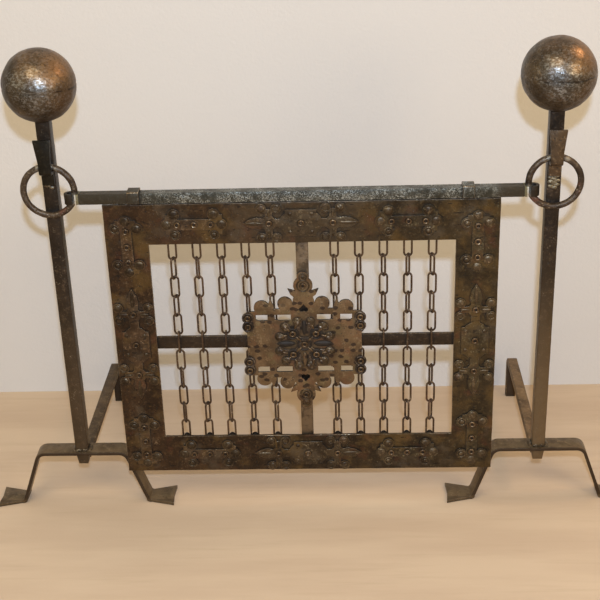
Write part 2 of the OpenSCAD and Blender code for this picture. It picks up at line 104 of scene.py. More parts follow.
class Finish:
    """One material, built node by node from its patterns."""

    def __init__(self, name):
        self.material = bpy.data.materials.new(name)
        self.material.use_nodes = True
        self.tree = self.material.node_tree
        self.tree.nodes.clear()
        self.place = self.node("ShaderNodeTexCoord", out="Object")

    def node(self, kind, settings=None, sockets=None, out=0):
        made = self.tree.nodes.new(kind)
        for name, value in (settings or {}).items():
            setattr(made, name, value)
        for name, value in (sockets or {}).items():
            if isinstance(value, Wire):
                self.tree.links.new(value.socket, made.inputs[name])
            else:
                made.inputs[name].default_value = value
        return Wire(self, made.outputs[out]) if made.outputs else None

    def mapping(self, **sockets):
        return self.node("ShaderNodeMapping", None, {"Vector": self.place, **sockets})

    def noise(self, size, detail=4, rough=0.55, shift=(0, 0, 0), stretch=(1, 1, 1)):
        """Cloudy pattern whose patches are about size metres across."""
        moved = self.mapping(Location=shift, Scale=stretch)
        sockets = {"Vector": moved, "Scale": 1 / size, "Detail": detail, "Roughness": rough}
        return self.node("ShaderNodeTexNoise", None, sockets)

    def cells(self, size, feature="F1"):
        """Distance from the middle of cells of about size metres."""
        return self.node(
            "ShaderNodeTexVoronoi", {"feature": feature}, {"Vector": self.place, "Scale": 1 / size})

    def upright_cells(self, size, out="Distance"):
        """The same on an upright plate, each cell wider than tall; its Color is a chance one for each."""
        turned = self.mapping(Rotation=(-math.pi / 2, 0, 0), Scale=(0.82, 1, 1.08))
        return self.node(
            "ShaderNodeTexVoronoi", {"voronoi_dimensions": "2D"}, {"Vector": turned, "Scale": 1 / size},
            out=out)

    def open_air(self, reach):
        """1 on open faces, less in corners narrower than reach."""
        return self.node("ShaderNodeAmbientOcclusion", {"samples": 6}, {"Distance": reach}, out="AO")

    def ramp(self, wire, low, high):
        """0 at low, 1 at high and a soft step between them."""
        sockets = {"Value": wire, "From Min": low, "From Max": high}
        return self.node("ShaderNodeMapRange", {"interpolation_type": "SMOOTHSTEP"}, sockets)

    def band(self, wire, low, high, soft):
        """1 between low and high, with soft borders."""
        return self.ramp(wire, low - soft, low + soft) * self.ramp(wire, high + soft, high - soft)

    def blend(self, share, first, second, way="MIX"):
        """From the first colour to the second as share goes from 0 to 1."""
        settings = {"data_type": "RGBA", "blend_type": way}
        return self.node("ShaderNodeMix", settings, {0: share, 6: first, 7: second}, out=2)

    def axis(self, name):
        return self.node("ShaderNodeSeparateXYZ", None, {0: self.place}, out=name)

    def surface(self, colour, rough, metal, height, depth):
        """A shader whose relief is depth metres where height goes from 0 to 1."""
        bump = self.node("ShaderNodeBump", None, {"Height": height, "Strength": 1.0, "Distance": depth})
        return self.node("ShaderNodeBsdfPrincipled", None, {
            "Base Color": colour, "Roughness": rough, "Metallic": metal, "Normal": bump})

    def close(self, shader):
        self.node("ShaderNodeOutputMaterial", None, {"Surface": shader})
        return self.material


def tone(red, green, blue):
    """A colour seen as 0 to 255, made linear."""
    linear = [((v / 255 + 0.055) / 1.055) ** 2.4 if v > 10 else v / 3294 for v in (red, green, blue)]
    return (*linear, 1.0)


def darker(colour, share):
    return tone(*[v * share for v in colour])


def wrought_iron(
        name, deep, body, lit, rust=(98, 58, 38), rust_share=0.3, bare=(160, 150, 132), bare_share=0.2,
        facet=0.012, dent=0.0005, gloss=0.42, metal=0.7, corner_shade=0.75, sides=None, local=None):
    """Forged iron: hammer dents, mill scale, pits, patches of rust, bare high spots, painted shade in
    corners.

    Its first three colours go from dark to light. Sides are tints for the left and the right of the
    object. Local adds what belongs to one piece alone.
    """
    f = Finish(name)
    drift = f.noise(0.13, 2, shift=(0.2, 0.4, 0.1))
    cloud = f.noise(0.026, 5, 0.6, shift=(0.3, 0.1, 0.7))
    mottle = f.noise(0.007, 5, 0.62, shift=(1.3, 2.1, 0.4))
    grain = f.noise(0.0026, 3, 0.6)
    dents = f.cells(facet, "SMOOTH_F1")
    pits = f.ramp(f.cells(0.0048), 0.27, 0.15) * f.ramp(f.noise(0.016, 3, shift=(2, 0, 5)), 0.5, 0.6)

    colour = f.blend(f.ramp(drift * 0.35 + cloud * 0.65, 0.38, 0.6), tone(*deep), tone(*body))
    colour = f.blend(f.ramp(mottle * 0.6 + grain * 0.4, 0.5, 0.7), colour, tone(*lit))
    rust_drop = 0.3 * rust_share
    rusty = f.ramp(f.noise(0.035, 5, 0.65, shift=(4, 1, 2)), 0.68 - rust_drop, 0.86 - rust_drop)
    colour = f.blend(rusty * 0.65, colour, tone(*rust))
    high_spots = grain * 0.55 + (1 - dents) * 0.2 + cloud * 0.25
    bare_drop = 0.25 * bare_share
    rubbed = f.ramp(high_spots, 0.66 - bare_drop, 0.78 - bare_drop)
    colour = f.blend(rubbed * 0.65, colour, tone(*bare))
    if sides:
        across = f.ramp(f.axis("X"), -0.3, 0.3)
        tint = f.blend(across, tone(*sides[0]), tone(*sides[1]))
        colour = f.blend(1.0, colour, tint, "MULTIPLY")
    colour = f.blend(pits * 0.75, colour, darker(deep, 0.5))

    rough = gloss + 0.2 * (mottle - 0.5) + rusty * 0.2 + pits * 0.2 - rubbed * 0.1
    if local:
        colour, rough = local(f, colour, rough)
    # Painted shade: narrow corners, which little open air reaches, are darkened.
    corner = f.ramp(f.open_air(0.007), 0.9, 0.3) * corner_shade
    colour = f.blend(corner, colour, darker(deep, 0.35))
    metallic = metal - rusty * 0.3 + rubbed * 0.2 - pits * 0.3 - corner * 0.4
    height = dents * 0.7 + mottle * 0.4 + grain * 0.3 + cloud * 0.4 - pits * 0.5
    return f.close(f.surface(colour, rough + corner * 0.25, metallic, height, dent * 2))


# What belongs to one piece alone. Each function takes and gives a colour and a roughness.
def scratches_and_painted_light(f, colour, rough):
    """Each ball: scratches, painted highlights, painted warm light on top and right, painted shade below,
    dark seam.
    """
    low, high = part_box("right_ball")
    radius = (high.x - low.x) / 2
    middle = (high.x + low.x) / 2
    x, z = f.axis("X"), f.axis("Z")
    right = f.ramp(x, -0.01, 0.01)
    u = (x + middle - 2 * middle * right) * (1 / radius)
    v = (z - (high.z - radius)) * (1 / radius)

    def spot(across, up, reach):
        return f.ramp((u - across) * (u - across) + (v - up) * (v - up), reach * reach, 0.0)

    shade = f.ramp(f.noise(0.03, 3, shift=(2, 8, 3)), 0.4, 0.58)
    patch = f.ramp(f.noise(0.02, 4, 0.6, shift=(7, 3, 1)), 0.42, 0.6)
    scratch = f.ramp(f.noise(0.0034, 4, 0.75, shift=(5, 2, 1), stretch=(0.6, 1, 1.1)), 0.46, 0.62)
    pepper = f.ramp(f.noise(0.0024, 2, 0.7, shift=(1, 9, 2)), 0.54, 0.62)
    # Where the front lamp's reflection falls: the place of the painted highlight.
    painted_glint = spot(0.06, 0.18, 0.85) * (0.72 + 0.22 * right)
    colour = f.blend(shade * 0.75, colour, tone(58, 49, 38))
    # Painted warm light on the right side of each ball.
    colour = f.blend(f.ramp(u, 0.15, 0.85) * 0.45, colour, tone(114, 86, 57))
    # Painted highlight: scratched silvery metal and a grey sheen where the lamp reflects, faint scratches
    # elsewhere.
    colour = f.blend((painted_glint * 0.5 + patch * 0.14) * scratch, colour, tone(186, 188, 186))
    colour = f.blend(painted_glint * 0.3, colour, tone(96, 95, 90))
    # Painted orange glint at the upper right, and painted warm light on the top.
    colour = f.blend(spot(0.58, 0.56, 0.5) * 0.4, colour, tone(166, 126, 84))
    colour = f.blend(spot(0.1, 0.8, 0.75) * (0.14 + 0.2 * patch), colour, tone(146, 114, 82))
    colour = f.blend(pepper * 0.5, colour, tone(44, 38, 31))

    wavering = abs(v + 0.16 * (f.noise(0.03, 2) - 0.5))
    broken = f.ramp(f.noise(0.014, 3, shift=(3, 3, 1)), 0.44, 0.56)
    seam = f.ramp(wavering, 0.035, 0.01) * broken
    colour = f.blend(seam * 0.7, colour, tone(38, 34, 30))
    # Painted shade: darker towards the bottom.
    below = f.ramp(v, -0.5, -0.95)
    colour = f.blend(below * 0.75, colour, tone(56, 45, 34))
    return colour, rough + below * 0.2 - painted_glint * scratch * 0.1


def warmer_low(f, colour, rough):
    """The posts are black above and rubbed to warm brown below, the right one more."""
    right = f.ramp(f.axis("X"), -0.1, 0.1)
    height = f.axis("Z")
    colour = f.blend(f.ramp(height, 0.4, 0.6) * (1 - right) * 0.5, colour, tone(36, 31, 25))
    rubbed = f.ramp(height, 0.46, 0.14) * (0.25 + 0.45 * right)
    return f.blend(rubbed, colour, tone(120, 101, 74)), rough


def sooted_front(f, colour, rough):
    """The narrow front edge of the legs is sooted black; their broad faces are olive brown."""
    front = f.ramp(f.axis("Y"), -0.1462, -0.1474) * f.ramp(f.axis("Z"), 0.0, 0.01)
    streak = f.ramp(f.noise(0.012, 4, 0.6, shift=(4, 4, 1)), 0.4, 0.6)
    colour = f.blend(streak * 0.4, colour, tone(122, 106, 80))
    return f.blend(front * 0.85, colour, tone(52, 39, 28)), rough + front * 0.15


def painted_rear_shade(f, colour, rough):
    """The rear legs of the billet bars are darker than the bars: painted shade under them."""
    rear = f.ramp(f.axis("Y"), 0.150, 0.176) * f.ramp(f.axis("Z"), 0.074, 0.060)
    return f.blend(rear * 0.85, colour, tone(38, 28, 20)), rough + rear * 0.1


def weathered(f, colour, rough):
    """Golden, red and grey bloom in patches, short dark forging marks and long pits."""
    golden = f.ramp(f.noise(0.05, 4, 0.6, shift=(9, 2, 4)), 0.48, 0.66)
    red = f.ramp(f.noise(0.04, 4, 0.6, shift=(2, 7, 8)), 0.54, 0.68)
    grey = f.ramp(f.noise(0.055, 4, 0.65, shift=(5, 5, 5)), 0.52, 0.66)
    top_middle = f.ramp(abs(f.axis("X")), 0.13, 0.05) * f.ramp(f.axis("Z"), 0.36, 0.42)
    colour = f.blend(golden * (0.6 - 0.4 * top_middle), colour, tone(102, 81, 46))
    colour = f.blend(red * 0.4, colour, tone(96, 58, 42))
    colour = f.blend(grey * 0.45, colour, tone(90, 80, 66))
    colour = f.blend(top_middle * 0.3, colour, tone(88, 77, 61))
    dark = f.ramp(f.noise(0.028, 5, 0.7, shift=(1, 4, 9)), 0.53, 0.68)
    colour = f.blend(dark * 0.6, colour, tone(42, 32, 22))
    marks = f.ramp(f.noise(0.006, 3, 0.6, shift=(6, 1, 3), stretch=(0.45, 1, 1.3)), 0.62, 0.68)
    colour = f.blend(marks * 0.75, colour, tone(30, 23, 16))
    return colour, rough + dark * 0.1 + marks * 0.15 - golden * 0.05


def pale_strip(f, colour, rough):
    """The strip is rubbed pale above and below the plaque, dark behind it as painted shade; the mid bar
    is left dark.
    """
    low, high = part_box("plaque")
    half = (high.z - low.z) / 2
    # Painted shade: the part behind the plaque keeps the dark iron.
    free = f.ramp(abs(f.axis("Z") - (low.z + high.z) / 2), half - 0.02, half - 0.008)
    upright = f.ramp(abs(f.axis("X")), 0.0145, 0.0125) * free
    patch = f.ramp(f.noise(0.012, 4, 0.65, shift=(3, 6, 2)), 0.36, 0.56)
    return f.blend(upright * (0.35 + 0.6 * patch), colour, tone(116, 98, 76)), rough


def scaled_ends(f, colour, rough):
    """The hanging bar is speckled bright in the middle and dark at both ends; its eyes' lips are rubbed,
    with painted light and shade.
    """
    along = f.axis("X")
    across = abs(along)
    lip = 0.3148
    ends = f.ramp(along, 0.262, 0.288) + f.ramp(along, -0.205, -0.24)
    bloom = f.ramp(f.noise(0.02, 3, shift=(1, 5, 1)), 0.34, 0.56)
    flecks = f.ramp(f.noise(0.0017, 2, 0.75, shift=(3, 1, 1)), 0.48, 0.6) * bloom * (1 - ends)
    colour = f.blend(flecks * 0.6, colour, tone(188, 194, 190))
    colour = f.blend(ends * 0.75, colour, tone(64, 57, 46))
    colour = f.blend(f.band(across, lip - 0.004, lip, 0.0005) * 0.75, colour, tone(140, 134, 106))
    # Painted highlight on the eye's rounded front, over rubbed bare metal.
    colour = f.blend(f.band(across, lip, lip + 0.0024, 0.0004) * 0.8, colour, tone(222, 216, 200))
    # Painted shade where the eye turns away at its outer side.
    colour = f.blend(f.ramp(across, lip + 0.0047, lip + 0.0067) * 0.7, colour, tone(44, 35, 28))
    return colour, rough + ends * 0.08


def rubbed_wire(f, colour, rough):
    """Rings are rubbed bright where they hang in the hooks; in the eyes of the bar, rubbed metal carries
    a painted highlight.
    """
    across = abs(f.axis("X"))
    height = f.axis("Z")
    eye = f.band(across, 0.3085, 0.3245, 0.003) * f.band(height, 0.505, 0.520, 0.004)
    hook = f.band(across, 0.336, 0.371, 0.003) * f.ramp(height, 0.552, 0.557)
    colour = f.blend(hook * 0.5 * f.ramp(f.noise(0.005, 3), 0.4, 0.6), colour, tone(168, 160, 142))
    # Eye band: rubbed metal and a painted highlight.
    return f.blend(eye * 0.6, colour, tone(204, 196, 178)), rough - eye * 0.12


def punched_plate(f, colour, rough):
    """Dark lens-shaped pits all over the plaque, red and olive patches, painted shade round the rosette.
    """
    low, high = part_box("rosette")
    x = f.axis("X") - (low.x + high.x) / 2
    z = f.axis("Z") - (low.z + high.z) / 2
    # Painted shade round the raised rosette.
    near = f.ramp(x * x + z * z, 0.0042, 0.0018)
    red = f.ramp(f.noise(0.03, 4, 0.6, shift=(8, 1, 6)), 0.5, 0.66)
    olive = f.ramp(f.noise(0.026, 4, 0.6, shift=(3, 9, 2)), 0.52, 0.66)
    colour = f.blend(near * 0.45, colour, tone(66, 51, 36))
    colour = f.blend(red * 0.4, colour, tone(118, 80, 56))
    colour = f.blend(olive * 0.4, colour, tone(108, 98, 66))
    pit = 0.0105
    ragged = f.upright_cells(pit) + 0.35 * (f.noise(0.004, 3, 0.6, shift=(2, 2, 7)) - 0.5)
    chosen = f.ramp(f.upright_cells(pit, "Color"), 0.52, 0.56)
    spots = f.ramp(ragged, 0.35, 0.24) * chosen
    return f.blend(spots * 0.85, colour, tone(44, 31, 22)), rough + spots * 0.2


# Irons of the record's slots.
post_iron = wrought_iron(
    "post_iron", (38, 31, 25), (55, 45, 36), (84, 70, 55),
    rust_share=0.15, bare_share=0.25, local=warmer_low)
ball_iron = wrought_iron(
    "ball_iron", (56, 46, 34), (90, 76, 57), (122, 105, 83), rust=(110, 74, 48), rust_share=0.4,
    bare=(166, 158, 144), bare_share=0.22, facet=0.009, dent=0.0004, gloss=0.38, metal=0.8,
    local=scratches_and_painted_light)
leg_iron = wrought_iron(
    "leg_iron", (80, 66, 46), (108, 90, 66), (134, 114, 86),
    rust_share=0.12, facet=0.016, dent=0.0004, local=sooted_front)
billet_iron = wrought_iron(
    "billet_iron", (84, 66, 45), (122, 98, 69), (154, 128, 95), rust=(112, 76, 50),
    gloss=0.5, metal=0.45, sides=((196, 200, 206), (255, 255, 255)), local=painted_rear_shade)
hook_iron = wrought_iron(
    "hook_iron", (52, 44, 34), (84, 70, 54), (120, 104, 82), rust=(104, 62, 44), rust_share=0.35,
    sides=((118, 126, 124), (255, 248, 240)))
ring_iron = wrought_iron(
    "ring_iron", (44, 35, 28), (78, 65, 52), (118, 105, 88), rust=(118, 66, 48), rust_share=0.45,
    bare=(160, 152, 136), bare_share=0.38, facet=0.007, dent=0.0006, gloss=0.46, local=rubbed_wire)
bar_iron = wrought_iron(
    "bar_iron", (56, 56, 50), (78, 78, 71), (108, 109, 102), rust_share=0.1,
    bare=(160, 162, 156), bare_share=0.25, facet=0.006, dent=0.0004, metal=0.8, local=scaled_ends)
frame_iron = wrought_iron(
    "frame_iron", (44, 34, 24), (66, 52, 38), (94, 77, 57), rust=(88, 55, 34), rust_share=0.25,
    facet=0.022, dent=0.0008, gloss=0.36, sides=((255, 240, 224), (240, 250, 232)), local=weathered)
strip_iron = wrought_iron(
    "strip_iron", (42, 33, 25), (56, 45, 34), (78, 64, 50),
    rust_share=0.15, bare_share=0.05, facet=0.03, local=pale_strip)
chain_iron = wrought_iron(
    "chain_iron", (58, 42, 29), (82, 63, 45), (114, 92, 68), rust=(92, 56, 38), rust_share=0.4,
    bare_share=0.3, gloss=0.46, metal=0.6)
plaque_iron = wrought_iron(
    "plaque_iron", (84, 66, 46), (112, 91, 65), (140, 118, 88), rust=(122, 84, 58),
    metal=0.65, local=punched_plate)
rosette_iron = wrought_iron(
    "rosette_iron", (46, 37, 31), (78, 65, 54), (120, 105, 88),
    rust_share=0.15, bare_share=0.35, facet=0.008)
trim_iron = wrought_iron(
    "trim_iron", (52, 42, 31), (80, 66, 51), (114, 98, 78), rust_share=0.2, bare_share=0.35,
    gloss=0.38, sides=((255, 242, 230), (240, 250, 234)), local=weathered)
rivet_iron = wrought_iron(
    "rivet_iron", (46, 36, 27), (72, 59, 46), (112, 96, 77),
    rust_share=0.15, bare_share=0.3, facet=0.02, gloss=0.36)

SLOT_IRON = {
    "post_iron": post_iron, "ball_iron": ball_iron, "leg_iron": leg_iron, "billet_iron": billet_iron,
    "hook_iron": hook_iron, "ring_iron": ring_iron, "bar_iron": bar_iron, "frame_iron": frame_iron,
    "strip_iron": strip_iron, "chain_iron": chain_iron, "plaque_iron": plaque_iron,
    "rosette_iron": rosette_iron, "trim_iron": trim_iron, "rivet_iron": rivet_iron,
}

# Irons of crests, lobes, welds, rubbed edges, and a dark iron: painted shade on side walls, the rosette's
# dark parts.
RAISED_SIDES = ((208, 202, 194), (255, 250, 242))
crest_iron = wrought_iron(
    "crest_iron", (78, 64, 50), (106, 89, 70), (138, 122, 100), rust_share=0.1,
    bare=(172, 160, 140), bare_share=0.4, facet=0.006, gloss=0.34, metal=0.85, corner_shade=0.5,
    sides=RAISED_SIDES)
lobe_iron = wrought_iron(
    "lobe_iron", (56, 46, 35), (86, 74, 57), (122, 108, 86), rust=(92, 62, 48), rust_share=0.25,
    bare_share=0.4, facet=0.006, gloss=0.4, metal=0.75, sides=RAISED_SIDES)
weld_iron = wrought_iron(
    "weld_iron", (66, 56, 44), (104, 91, 72), (150, 138, 116), rust_share=0.1,
    bare=(190, 182, 164), bare_share=0.5, facet=0.005, gloss=0.38, metal=0.8)
bright_weld = wrought_iron(
    "bright_weld", (78, 70, 56), (118, 108, 88), (168, 158, 134), rust_share=0.2,
    bare=(200, 192, 170), bare_share=0.45, facet=0.005)
worn_edge = wrought_iron(
    "worn_edge", (74, 61, 46), (106, 90, 70), (142, 124, 100), rust_share=0.12,
    bare_share=0.5, facet=0.01, gloss=0.36, metal=0.8, corner_shade=0.6)
dark_scale_and_shade = wrought_iron(
    "dark_scale_and_shade", (28, 22, 16), (38, 30, 22), (54, 43, 32),
    rust_share=0.1, bare_share=0.0, gloss=0.6, metal=0.4)


# Handling of pieces.
def clear_selection():
    if bpy.context.mode != "OBJECT":
        bpy.ops.object.mode_set(mode="OBJECT")
    bpy.ops.object.select_all(action="DESELECT")


def take(piece):
    clear_selection()
    piece.select_set(True)
    bpy.context.view_layer.objects.active = piece


def settle(piece):
    """Puts a new primitive's place and size into its mesh."""
    take(piece)
    bpy.ops.object.transform_apply(location=True, rotation=True, scale=True)


def edit(piece, kind):
    take(piece)
    bpy.ops.object.mode_set(mode="EDIT")
    bpy.ops.mesh.select_mode(type=kind)
    bpy.ops.mesh.select_all(action="DESELECT")
    bpy.ops.object.mode_set(mode="OBJECT")


def pick_faces(piece, test):
    """Selects the faces whose middle and normal pass the test, and opens edit mode."""
    edit(piece, "FACE")
    for face in piece.data.polygons:
        face.select = test(face.center, face.normal)
    bpy.ops.object.mode_set(mode="EDIT")


def pick_edges(piece, test):
    """Selects the edges whose two ends pass the test, and opens edit mode."""
    edit(piece, "EDGE")
    points = piece.data.vertices
    for edge in piece.data.edges:
        edge.select = test(points[edge.vertices[0]].co, points[edge.vertices[1]].co)
    bpy.ops.object.mode_set(mode="EDIT")


def add_modifier(piece, kind, **settings):
    take(piece)
    modifier = piece.modifiers.new(kind.lower(), kind)
    for name, value in settings.items():
        setattr(modifier, name, value)
    bpy.ops.object.modifier_apply(modifier=modifier.name)


def round_edges(piece, width, segments=2, sharp=35):
    """Rounds the edges that turn by more than sharp degrees; the roundings take the second material."""
    add_modifier(piece, "BEVEL", width=width, segments=segments, limit_method="ANGLE",
                 angle_limit=math.radians(sharp), material=1)


def hammer(piece, name, size, depth):
    """Hammer marks of the given size, cut at most depth into the surface."""
    marks = bpy.data.textures.new(name, "CLOUDS")
    marks.noise_scale = size
    add_modifier(
        piece, "DISPLACE", texture=marks, texture_coords="LOCAL", strength=depth, mid_level=1.0)


def smooth(piece, angle=38):
    take(piece)
    bpy.ops.object.shade_smooth_by_angle(angle=math.radians(angle))


def give_irons(piece, *irons):
    """Sets the piece's materials; its faces all take the first."""
    piece.data.materials.clear()
    for iron in irons:
        piece.data.materials.append(iron)
    for face in piece.data.polygons:
        face.material_index = 0


def label(piece, name, slot, body, *nodes):
    """Names a finished piece, puts it in its body and hides the nodes it stands for; its slot is not
    used.
    """
    piece.name = name
    piece.data.name = name
    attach(piece, body)
    if nodes:
        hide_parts(*nodes)


def merged_copy(node):
    """A copy of a CAD node's mesh, its doubles merged and its flat faces joined."""
    clear_selection()
    piece = bpy.data.objects.new(node + "_work", frame["nodes"][node].data.copy())
    bpy.context.scene.collection.objects.link(piece)
    take(piece)
    bpy.ops.mesh.customdata_custom_splitnormals_clear()
    bpy.ops.object.mode_set(mode="EDIT")
    bpy.ops.mesh.select_all(action="SELECT")
    bpy.ops.mesh.remove_doubles(threshold=0.00002)
    bpy.ops.mesh.dissolve_limited(angle_limit=math.radians(1.5))
    bpy.ops.object.mode_set(mode="OBJECT")
    return piece


def solids_of(node):
    """The low and the high corner of each separate solid of a CAD node."""
    merged_copy(node)
    bpy.ops.object.mode_set(mode="EDIT")
    bpy.ops.mesh.select_all(action="SELECT")
    bpy.ops.mesh.separate(type="LOOSE")
    bpy.ops.object.mode_set(mode="OBJECT")
    found = []
    for part in list(bpy.context.selected_objects):
        corners = [Vector(c) for c in part.bound_box]
        low = Vector([min(c[i] for c in corners) for i in range(3)])
        high = Vector([max(c[i] for c in corners) for i in range(3)])
        found.append((low, high))
        bpy.data.objects.remove(part)
    return found


def join(pieces):
    """One piece out of several."""
    clear_selection()
    for piece in pieces:
        piece.select_set(True)
    bpy.context.view_layer.objects.active = pieces[0]
    bpy.ops.object.join()
    return pieces[0]


def forged(node, name, slot, body, edge, rim=worn_edge):
    """A CAD form with its edges rounded and rubbed bright."""
    piece = merged_copy(node)
    give_irons(piece, SLOT_IRON[slot], rim)
    round_edges(piece, edge)
    smooth(piece)
    label(piece, name, slot, body, node)


def chased(node, name, slot, edge, raised):
    """A flat cut ornament: rounded rim, side walls darkened as painted shade, and raised lobes worked up
    on its front.
    """
    piece = merged_copy(node)
    give_irons(piece, SLOT_IRON[slot], worn_edge, dark_scale_and_shade)
    round_edges(piece, edge, segments=3)
    # Painted shade: faces turned sideways take the dark iron.
    for face in piece.data.polygons:
        if abs(face.normal.y) < 0.45:
            face.material_index = 2
        elif abs(face.normal.y) > 0.96:
            face.material_index = 0
    piece = join([piece] + raised)
    smooth(piece)
    label(piece, name, slot, SCREEN, node)


def low_relief(material):
    """Settles and smooths the primitive just made, and gives it its material."""
    piece = bpy.context.object
    settle(piece)
    smooth(piece, 60)
    piece.data.materials.append(material)
    return piece


def dome(x, y, z, wide, tall, rise, material, turn=0.0):
    """A low mound on an upright plate whose front is at y; turn leans it in the plate's plane."""
    clear_selection()
    bpy.ops.mesh.primitive_uv_sphere_add(
        segments=24, ring_count=14, radius=1, location=(x, y, z), rotation=(0, turn, 0),
        scale=(wide, rise, tall))
    return low_relief(material)


def curl(x, y, z, radius, wire, material):
    """A raised ring on an upright plate whose front is at y."""
    clear_selection()
    bpy.ops.mesh.primitive_torus_add(
        major_segments=32, minor_segments=10, major_radius=radius, minor_radius=wire,
        location=(x, y, z), rotation=FACING_FRONT)
    return low_relief(material)


# Posts: square bar, drawn thin below the legs.
def make_post(side):
    tip_share = 0.75
    low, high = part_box(side + "_post")
    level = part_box(side + "_front_legs")[1].z - 0.008
    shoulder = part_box(side + "_ball")[0].z
    wide = high.x - low.x
    centre = (low + high) / 2
    bpy.ops.mesh.primitive_cube_add(
        size=1, location=(centre.x, centre.y, (level + shoulder) / 2),
        scale=(wide, wide, shoulder - level))
    piece = bpy.context.object
    settle(piece)
    pick_faces(piece, lambda c, n: n.z < -0.9)
    bpy.ops.mesh.extrude_region_move(TRANSFORM_OT_translate={"value": (0, 0, low.z - level)})
    bpy.ops.transform.resize(
        value=(tip_share, tip_share, 1), center_override=(centre.x, centre.y, low.z))
    pick_edges(piece, lambda a, b: abs(a.z - b.z) > 0.1)
    bpy.ops.mesh.subdivide(number_cuts=60)
    pick_edges(piece, lambda a, b: abs(a.z - b.z) > 0.004)
    bpy.ops.mesh.bevel(offset=0.0013, segments=2)
    bpy.ops.object.mode_set(mode="OBJECT")
    hammer(piece, side + "_post_marks", 0.02, 0.0005)
    smooth(piece, 50)
    give_irons(piece, post_iron)
    label(piece, side + "_forged_post", "post_iron", ANDIRONS, side + "_post")


# Balls: two forged halves, with a shallow level seam round the middle and a flat seat on the post.
def make_ball(side):
    inset = 0.0001
    seam_share = 0.992
    low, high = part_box(side + "_ball")
    radius = (high.x - low.x) / 2
    centre = Vector(((low.x + high.x) / 2, (low.y + high.y) / 2, high.z - radius))
    bpy.ops.mesh.primitive_uv_sphere_add(
        segments=112, ring_count=72, radius=radius - inset, location=centre)
    piece = bpy.context.object
    settle(piece)
    pick_edges(piece, lambda a, b: all(abs(v.z - centre.z) < 0.0005 for v in (a, b)))
    bpy.ops.transform.resize(value=(seam_share, seam_share, 1), center_override=centre)
    pick_faces(piece, lambda c, n: True)
    bpy.ops.mesh.bisect(plane_co=(0, 0, low.z), plane_no=(0, 0, -1), clear_outer=True, use_fill=True)
    bpy.ops.object.mode_set(mode="OBJECT")
    hammer(piece, side + "_ball_marks", 0.011, 0.0011)
    smooth(piece, 60)
    give_irons(piece, ball_iron)
    label(piece, side + "_forged_ball", "ball_iron", ANDIRONS, side + "_ball")


# Rings: round wire, hammered all round.
def make_ring(side):
    low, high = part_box(side + "_ring")
    wire = (high.y - low.y) / 2
    bpy.ops.mesh.primitive_torus_add(
        major_segments=128, minor_segments=20, major_radius=(high.x - low.x) / 2 - wire,
        minor_radius=wire, location=(low + high) / 2, rotation=FACING_FRONT)
    piece = bpy.context.object
    settle(piece)
    hammer(piece, side + "_ring_marks", 0.009, 0.0008)
    smooth(piece, 60)
    give_irons(piece, ring_iron)
    label(piece, side + "_forged_ring", "ring_iron", side + "_ring", side + "_ring")


# Front legs: the bends into the feet are rounded, less on the upper side than below.
def make_legs(side):
    node = side + "_front_legs"
    low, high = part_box(node)
    centre = (low.x + high.x) / 2
    piece = merged_copy(node)
    under = [abs(v.co.x - centre) for v in piece.data.vertices if v.co.z < 0.0002]
    heel = min(round(reach, 5) for reach in under if reach < 0.115)

    def on_bend(v, level, reach):
        return abs(v.z - level) < 0.0003 and abs(abs(v.x - centre) - reach) < 0.0003

    for level, reach, offset in ((0, heel, 0.007), (0.005, heel + 0.006, 0.0028)):
        pick_edges(piece, lambda a, b: abs(a.y - b.y) > 0.015 and all(
            on_bend(v, level, reach) for v in (a, b)))
        bpy.ops.mesh.bevel(offset=offset, segments=4)
        bpy.ops.object.mode_set(mode="OBJECT")
    give_irons(piece, leg_iron, worn_edge)
    round_edges(piece, 0.001, sharp=40)
    smooth(piece, 45)
    label(piece, side + "_forged_legs", "leg_iron", ANDIRONS, node)


# Welds: lumps and beads, peened flat.
def make_weld(name, spots, material, depth=0.0012):
    lumps = []
    for place, size in spots:
        bpy.ops.mesh.primitive_ico_sphere_add(subdivisions=4, radius=1, location=place, scale=size)
        lump = bpy.context.object
        settle(lump)
        lumps.append(lump)
    piece = join(lumps)
    hammer(piece, name + "_marks", 0.004, depth)
    smooth(piece, 60)
    piece.data.materials.append(material)
    label(piece, name, "post_iron", ANDIRONS)


def weld_legs(side):
    """Lumps on both sides of the post and on its front, where the legs cross it."""
    low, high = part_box(side + "_post")
    x = (low.x + high.x) / 2
    front = low.y
    level = 0.0925
    flank = (0.0045, 0.0095, 0.0032)
    make_weld(side + "_weld_lumps", [
        ((x - 0.0115, front + 0.009, level), flank),
        ((x + 0.0115, front + 0.009, level), flank),
        ((x - 0.0045, front + 0.0003, level), (0.0048, 0.0022, 0.0040)),
        ((x + 0.0050, front + 0.0003, level + 0.0005), (0.0042, 0.0020, 0.0036)),
    ], weld_iron)


def weld_hook(side):
    """Beads below the ring hook: two dull ones on the left, a bright wavy run on the right."""
    low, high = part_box(side + "_post")
    x = (low.x + high.x) / 2
    front = low.y
    hook_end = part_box(side + "_ring_hook")[0].z
    if side == "left":
        iron = weld_iron
        beads = [
            ((x - 0.003, front - 0.0002, hook_end - 0.001), (0.0055, 0.0024, 0.0035)),
            ((x + 0.0035, front - 0.0001, hook_end - 0.0045), (0.0042, 0.0018, 0.0028)),
        ]
    else:
        iron = bright_weld
        beads = []
        for i in range(10):
            across = x + 0.0045 * math.sin(2.1 * i) + dice.uniform(-0.0008, 0.0008)
            place = (across, front - 0.0001, hook_end + 0.001 - 0.0021 * i)
            beads.append((place, (dice.uniform(0.0044, 0.0054), 0.0020, dice.uniform(0.0026, 0.0034))))
    make_weld(side + "_hook_weld", beads, iron, depth=0.0006)


